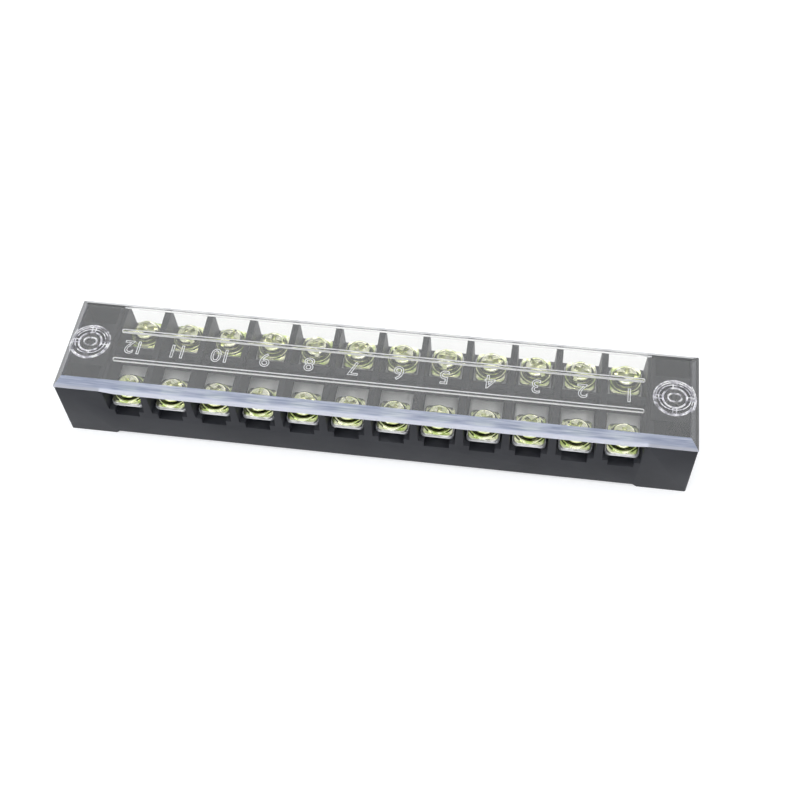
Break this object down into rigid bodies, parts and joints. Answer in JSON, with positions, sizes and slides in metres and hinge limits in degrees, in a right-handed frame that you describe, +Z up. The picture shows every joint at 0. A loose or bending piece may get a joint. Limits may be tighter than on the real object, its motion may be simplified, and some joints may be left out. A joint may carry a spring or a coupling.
{
  "type": "barrier terminal strip",
  "caption": "Double-row barrier terminal strip with screw clamps, through contact strips and a clear clip-on cover on a moulded black base.",
  "frame": {"origin": "middle of the strip's length and width, at the underside of its feet", "axes": "+X along the strip towards position 1, +Y across the strip towards the back row, +Z up through the cover"},
  "size_m": [0.1264, 0.022, 0.0168],
  "materials": {
    "base_plastic": "moulded black thermoplastic, fine satin",
    "cover_clear": "clear moulded plastic, polished, with a frosted bevel",
    "contact_nickel": "nickel-plated brass, satin",
    "clamp_zinc": "pressed steel, yellow-passivated zinc",
    "screw_zinc": "cold-headed steel, yellow-passivated zinc"
  },
  "bodies": {
    "base": {"base": "base_plastic", "contact_strips": "contact_nickel"},
    "cover": {"cover": "cover_clear"},
    "clamp_plate_front_1": {"clamp_plate_front_1": "clamp_zinc"},
    "clamp_screw_front_1": {"clamp_screw_front_1": "screw_zinc"},
    "clamp_plate_front_2": {"clamp_plate_front_2": "clamp_zinc"},
    "clamp_screw_front_2": {"clamp_screw_front_2": "screw_zinc"},
    "clamp_plate_front_3": {"clamp_plate_front_3": "clamp_zinc"},
    "clamp_screw_front_3": {"clamp_screw_front_3": "screw_zinc"},
    "clamp_plate_front_4": {"clamp_plate_front_4": "clamp_zinc"},
    "clamp_screw_front_4": {"clamp_screw_front_4": "screw_zinc"},
    "clamp_plate_front_5": {"clamp_plate_front_5": "clamp_zinc"},
    "clamp_screw_front_5": {"clamp_screw_front_5": "screw_zinc"},
    "clamp_plate_front_6": {"clamp_plate_front_6": "clamp_zinc"},
    "clamp_screw_front_6": {"clamp_screw_front_6": "screw_zinc"},
    "clamp_plate_front_7": {"clamp_plate_front_7": "clamp_zinc"},
    "clamp_screw_front_7": {"clamp_screw_front_7": "screw_zinc"},
    "clamp_plate_front_8": {"clamp_plate_front_8": "clamp_zinc"},
    "clamp_screw_front_8": {"clamp_screw_front_8": "screw_zinc"},
    "clamp_plate_front_9": {"clamp_plate_front_9": "clamp_zinc"},
    "clamp_screw_front_9": {"clamp_screw_front_9": "screw_zinc"},
    "clamp_plate_front_10": {"clamp_plate_front_10": "clamp_zinc"},
    "clamp_screw_front_10": {"clamp_screw_front_10": "screw_zinc"},
    "clamp_plate_front_11": {"clamp_plate_front_11": "clamp_zinc"},
    "clamp_screw_front_11": {"clamp_screw_front_11": "screw_zinc"},
    "clamp_plate_front_12": {"clamp_plate_front_12": "clamp_zinc"},
    "clamp_screw_front_12": {"clamp_screw_front_12": "screw_zinc"},
    "clamp_plate_back_1": {"clamp_plate_back_1": "clamp_zinc"},
    "clamp_screw_back_1": {"clamp_screw_back_1": "screw_zinc"},
    "clamp_plate_back_2": {"clamp_plate_back_2": "clamp_zinc"},
    "clamp_screw_back_2": {"clamp_screw_back_2": "screw_zinc"},
    "clamp_plate_back_3": {"clamp_plate_back_3": "clamp_zinc"},
    "clamp_screw_back_3": {"clamp_screw_back_3": "screw_zinc"},
    "clamp_plate_back_4": {"clamp_plate_back_4": "clamp_zinc"},
    "clamp_screw_back_4": {"clamp_screw_back_4": "screw_zinc"},
    "clamp_plate_back_5": {"clamp_plate_back_5": "clamp_zinc"},
    "clamp_screw_back_5": {"clamp_screw_back_5": "screw_zinc"},
    "clamp_plate_back_6": {"clamp_plate_back_6": "clamp_zinc"},
    "clamp_screw_back_6": {"clamp_screw_back_6": "screw_zinc"},
    "clamp_plate_back_7": {"clamp_plate_back_7": "clamp_zinc"},
    "clamp_screw_back_7": {"clamp_screw_back_7": "screw_zinc"},
    "clamp_plate_back_8": {"clamp_plate_back_8": "clamp_zinc"},
    "clamp_screw_back_8": {"clamp_screw_back_8": "screw_zinc"},
    "clamp_plate_back_9": {"clamp_plate_back_9": "clamp_zinc"},
    "clamp_screw_back_9": {"clamp_screw_back_9": "screw_zinc"},
    "clamp_plate_back_10": {"clamp_plate_back_10": "clamp_zinc"},
    "clamp_screw_back_10": {"clamp_screw_back_10": "screw_zinc"},
    "clamp_plate_back_11": {"clamp_plate_back_11": "clamp_zinc"},
    "clamp_screw_back_11": {"clamp_screw_back_11": "screw_zinc"},
    "clamp_plate_back_12": {"clamp_plate_back_12": "clamp_zinc"},
    "clamp_screw_back_12": {"clamp_screw_back_12": "screw_zinc"}
  },
  "joints": [
    {"name": "cover_lift", "type": "slide", "parent": "base", "child": "cover", "axis": [0, 0, 1], "range_m": [0, 0.015]},
    {"name": "clamp_front_1_lift", "type": "slide", "parent": "base", "child": "clamp_plate_front_1", "axis": [0, 0, 1], "range_m": [0, 0.002]},
    {"name": "screw_front_1_turn", "type": "hinge", "parent": "clamp_plate_front_1", "child": "clamp_screw_front_1", "pos_m": [0.0495, -0.0069, 0.0105], "axis": [0, 0, 1], "range_deg": [0, 1440]},
    {"name": "clamp_front_2_lift", "type": "slide", "parent": "base", "child": "clamp_plate_front_2", "axis": [0, 0, 1], "range_m": [0, 0.002]},
    {"name": "screw_front_2_turn", "type": "hinge", "parent": "clamp_plate_front_2", "child": "clamp_screw_front_2", "pos_m": [0.0405, -0.0069, 0.0105], "axis": [0, 0, 1], "range_deg": [0, 1440]},
    {"name": "clamp_front_3_lift", "type": "slide", "parent": "base", "child": "clamp_plate_front_3", "axis": [0, 0, 1], "range_m": [0, 0.002]},
    {"name": "screw_front_3_turn", "type": "hinge", "parent": "clamp_plate_front_3", "child": "clamp_screw_front_3", "pos_m": [0.0315, -0.0069, 0.0105], "axis": [0, 0, 1], "range_deg": [0, 1440]},
    {"name": "clamp_front_4_lift", "type": "slide", "parent": "base", "child": "clamp_plate_front_4", "axis": [0, 0, 1], "range_m": [0, 0.002]},
    {"name": "screw_front_4_turn", "type": "hinge", "parent": "clamp_plate_front_4", "child": "clamp_screw_front_4", "pos_m": [0.0225, -0.0069, 0.0105], "axis": [0, 0, 1], "range_deg": [0, 1440]},
    {"name": "clamp_front_5_lift", "type": "slide", "parent": "base", "child": "clamp_plate_front_5", "axis": [0, 0, 1], "range_m": [0, 0.002]},
    {"name": "screw_front_5_turn", "type": "hinge", "parent": "clamp_plate_front_5", "child": "clamp_screw_front_5", "pos_m": [0.0135, -0.0069, 0.0105], "axis": [0, 0, 1], "range_deg": [0, 1440]},
    {"name": "clamp_front_6_lift", "type": "slide", "parent": "base", "child": "clamp_plate_front_6", "axis": [0, 0, 1], "range_m": [0, 0.002]},
    {"name": "screw_front_6_turn", "type": "hinge", "parent": "clamp_plate_front_6", "child": "clamp_screw_front_6", "pos_m": [0.0045, -0.0069, 0.0105], "axis": [0, 0, 1], "range_deg": [0, 1440]},
    {"name": "clamp_front_7_lift", "type": "slide", "parent": "base", "child": "clamp_plate_front_7", "axis": [0, 0, 1], "range_m": [0, 0.002]},
    {"name": "screw_front_7_turn", "type": "hinge", "parent": "clamp_plate_front_7", "child": "clamp_screw_front_7", "pos_m": [-0.0045, -0.0069, 0.0105], "axis": [0, 0, 1], "range_deg": [0, 1440]},
    {"name": "clamp_front_8_lift", "type": "slide", "parent": "base", "child": "clamp_plate_front_8", "axis": [0, 0, 1], "range_m": [0, 0.002]},
    {"name": "screw_front_8_turn", "type": "hinge", "parent": "clamp_plate_front_8", "child": "clamp_screw_front_8", "pos_m": [-0.0135, -0.0069, 0.0105], "axis": [0, 0, 1], "range_deg": [0, 1440]},
    {"name": "clamp_front_9_lift", "type": "slide", "parent": "base", "child": "clamp_plate_front_9", "axis": [0, 0, 1], "range_m": [0, 0.002]},
    {"name": "screw_front_9_turn", "type": "hinge", "parent": "clamp_plate_front_9", "child": "clamp_screw_front_9", "pos_m": [-0.0225, -0.0069, 0.0105], "axis": [0, 0, 1], "range_deg": [0, 1440]},
    {"name": "clamp_front_10_lift", "type": "slide", "parent": "base", "child": "clamp_plate_front_10", "axis": [0, 0, 1], "range_m": [0, 0.002]},
    {"name": "screw_front_10_turn", "type": "hinge", "parent": "clamp_plate_front_10", "child": "clamp_screw_front_10", "pos_m": [-0.0315, -0.0069, 0.0105], "axis": [0, 0, 1], "range_deg": [0, 1440]},
    {"name": "clamp_front_11_lift", "type": "slide", "parent": "base", "child": "clamp_plate_front_11", "axis": [0, 0, 1], "range_m": [0, 0.002]},
    {"name": "screw_front_11_turn", "type": "hinge", "parent": "clamp_plate_front_11", "child": "clamp_screw_front_11", "pos_m": [-0.0405, -0.0069, 0.0105], "axis": [0, 0, 1], "range_deg": [0, 1440]},
    {"name": "clamp_front_12_lift", "type": "slide", "parent": "base", "child": "clamp_plate_front_12", "axis": [0, 0, 1], "range_m": [0, 0.002]},
    {"name": "screw_front_12_turn", "type": "hinge", "parent": "clamp_plate_front_12", "child": "clamp_screw_front_12", "pos_m": [-0.0495, -0.0069, 0.0105], "axis": [0, 0, 1], "range_deg": [0, 1440]},
    {"name": "clamp_back_1_lift", "type": "slide", "parent": "base", "child": "clamp_plate_back_1", "axis": [0, 0, 1], "range_m": [0, 0.002]},
    {"name": "screw_back_1_turn", "type": "hinge", "parent": "clamp_plate_back_1", "child": "clamp_screw_back_1", "pos_m": [0.0495, 0.0069, 0.0105], "axis": [0, 0, 1], "range_deg": [0, 1440]},
    {"name": "clamp_back_2_lift", "type": "slide", "parent": "base", "child": "clamp_plate_back_2", "axis": [0, 0, 1], "range_m": [0, 0.002]},
    {"name": "screw_back_2_turn", "type": "hinge", "parent": "clamp_plate_back_2", "child": "clamp_screw_back_2", "pos_m": [0.0405, 0.0069, 0.0105], "axis": [0, 0, 1], "range_deg": [0, 1440]},
    {"name": "clamp_back_3_lift", "type": "slide", "parent": "base", "child": "clamp_plate_back_3", "axis": [0, 0, 1], "range_m": [0, 0.002]},
    {"name": "screw_back_3_turn", "type": "hinge", "parent": "clamp_plate_back_3", "child": "clamp_screw_back_3", "pos_m": [0.0315, 0.0069, 0.0105], "axis": [0, 0, 1], "range_deg": [0, 1440]},
    {"name": "clamp_back_4_lift", "type": "slide", "parent": "base", "child": "clamp_plate_back_4", "axis": [0, 0, 1], "range_m": [0, 0.002]},
    {"name": "screw_back_4_turn", "type": "hinge", "parent": "clamp_plate_back_4", "child": "clamp_screw_back_4", "pos_m": [0.0225, 0.0069, 0.0105], "axis": [0, 0, 1], "range_deg": [0, 1440]},
    {"name": "clamp_back_5_lift", "type": "slide", "parent": "base", "child": "clamp_plate_back_5", "axis": [0, 0, 1], "range_m": [0, 0.002]},
    {"name": "screw_back_5_turn", "type": "hinge", "parent": "clamp_plate_back_5", "child": "clamp_screw_back_5", "pos_m": [0.0135, 0.0069, 0.0105], "axis": [0, 0, 1], "range_deg": [0, 1440]},
    {"name": "clamp_back_6_lift", "type": "slide", "parent": "base", "child": "clamp_plate_back_6", "axis": [0, 0, 1], "range_m": [0, 0.002]},
    {"name": "screw_back_6_turn", "type": "hinge", "parent": "clamp_plate_back_6", "child": "clamp_screw_back_6", "pos_m": [0.0045, 0.0069, 0.0105], "axis": [0, 0, 1], "range_deg": [0, 1440]},
    {"name": "clamp_back_7_lift", "type": "slide", "parent": "base", "child": "clamp_plate_back_7", "axis": [0, 0, 1], "range_m": [0, 0.002]},
    {"name": "screw_back_7_turn", "type": "hinge", "parent": "clamp_plate_back_7", "child": "clamp_screw_back_7", "pos_m": [-0.0045, 0.0069, 0.0105], "axis": [0, 0, 1], "range_deg": [0, 1440]},
    {"name": "clamp_back_8_lift", "type": "slide", "parent": "base", "child": "clamp_plate_back_8", "axis": [0, 0, 1], "range_m": [0, 0.002]},
    {"name": "screw_back_8_turn", "type": "hinge", "parent": "clamp_plate_back_8", "child": "clamp_screw_back_8", "pos_m": [-0.0135, 0.0069, 0.0105], "axis": [0, 0, 1], "range_deg": [0, 1440]},
    {"name": "clamp_back_9_lift", "type": "slide", "parent": "base", "child": "clamp_plate_back_9", "axis": [0, 0, 1], "range_m": [0, 0.002]},
    {"name": "screw_back_9_turn", "type": "hinge", "parent": "clamp_plate_back_9", "child": "clamp_screw_back_9", "pos_m": [-0.0225, 0.0069, 0.0105], "axis": [0, 0, 1], "range_deg": [0, 1440]},
    {"name": "clamp_back_10_lift", "type": "slide", "parent": "base", "child": "clamp_plate_back_10", "axis": [0, 0, 1], "range_m": [0, 0.002]},
    {"name": "screw_back_10_turn", "type": "hinge", "parent": "clamp_plate_back_10", "child": "clamp_screw_back_10", "pos_m": [-0.0315, 0.0069, 0.0105], "axis": [0, 0, 1], "range_deg": [0, 1440]},
    {"name": "clamp_back_11_lift", "type": "slide", "parent": "base", "child": "clamp_plate_back_11", "axis": [0, 0, 1], "range_m": [0, 0.002]},
    {"name": "screw_back_11_turn", "type": "hinge", "parent": "clamp_plate_back_11", "child": "clamp_screw_back_11", "pos_m": [-0.0405, 0.0069, 0.0105], "axis": [0, 0, 1], "range_deg": [0, 1440]},
    {"name": "clamp_back_12_lift", "type": "slide", "parent": "base", "child": "clamp_plate_back_12", "axis": [0, 0, 1], "range_m": [0, 0.002]},
    {"name": "screw_back_12_turn", "type": "hinge", "parent": "clamp_plate_back_12", "child": "clamp_screw_back_12", "pos_m": [-0.0495, 0.0069, 0.0105], "axis": [0, 0, 1], "range_deg": [0, 1440]}
  ],
  "couplings": [
    {"joint": "screw_front_1_turn", "follows": "clamp_front_1_lift", "rad_per_m": 12566},
    {"joint": "screw_front_2_turn", "follows": "clamp_front_2_lift", "rad_per_m": 12566},
    {"joint": "screw_front_3_turn", "follows": "clamp_front_3_lift", "rad_per_m": 12566},
    {"joint": "screw_front_4_turn", "follows": "clamp_front_4_lift", "rad_per_m": 12566},
    {"joint": "screw_front_5_turn", "follows": "clamp_front_5_lift", "rad_per_m": 12566},
    {"joint": "screw_front_6_turn", "follows": "clamp_front_6_lift", "rad_per_m": 12566},
    {"joint": "screw_front_7_turn", "follows": "clamp_front_7_lift", "rad_per_m": 12566},
    {"joint": "screw_front_8_turn", "follows": "clamp_front_8_lift", "rad_per_m": 12566},
    {"joint": "screw_front_9_turn", "follows": "clamp_front_9_lift", "rad_per_m": 12566},
    {"joint": "screw_front_10_turn", "follows": "clamp_front_10_lift", "rad_per_m": 12566},
    {"joint": "screw_front_11_turn", "follows": "clamp_front_11_lift", "rad_per_m": 12566},
    {"joint": "screw_front_12_turn", "follows": "clamp_front_12_lift", "rad_per_m": 12566},
    {"joint": "screw_back_1_turn", "follows": "clamp_back_1_lift", "rad_per_m": 12566},
    {"joint": "screw_back_2_turn", "follows": "clamp_back_2_lift", "rad_per_m": 12566},
    {"joint": "screw_back_3_turn", "follows": "clamp_back_3_lift", "rad_per_m": 12566},
    {"joint": "screw_back_4_turn", "follows": "clamp_back_4_lift", "rad_per_m": 12566},
    {"joint": "screw_back_5_turn", "follows": "clamp_back_5_lift", "rad_per_m": 12566},
    {"joint": "screw_back_6_turn", "follows": "clamp_back_6_lift", "rad_per_m": 12566},
    {"joint": "screw_back_7_turn", "follows": "clamp_back_7_lift", "rad_per_m": 12566},
    {"joint": "screw_back_8_turn", "follows": "clamp_back_8_lift", "rad_per_m": 12566},
    {"joint": "screw_back_9_turn", "follows": "clamp_back_9_lift", "rad_per_m": 12566},
    {"joint": "screw_back_10_turn", "follows": "clamp_back_10_lift", "rad_per_m": 12566},
    {"joint": "screw_back_11_turn", "follows": "clamp_back_11_lift", "rad_per_m": 12566},
    {"joint": "screw_back_12_turn", "follows": "clamp_back_12_lift", "rad_per_m": 12566}
  ]
}
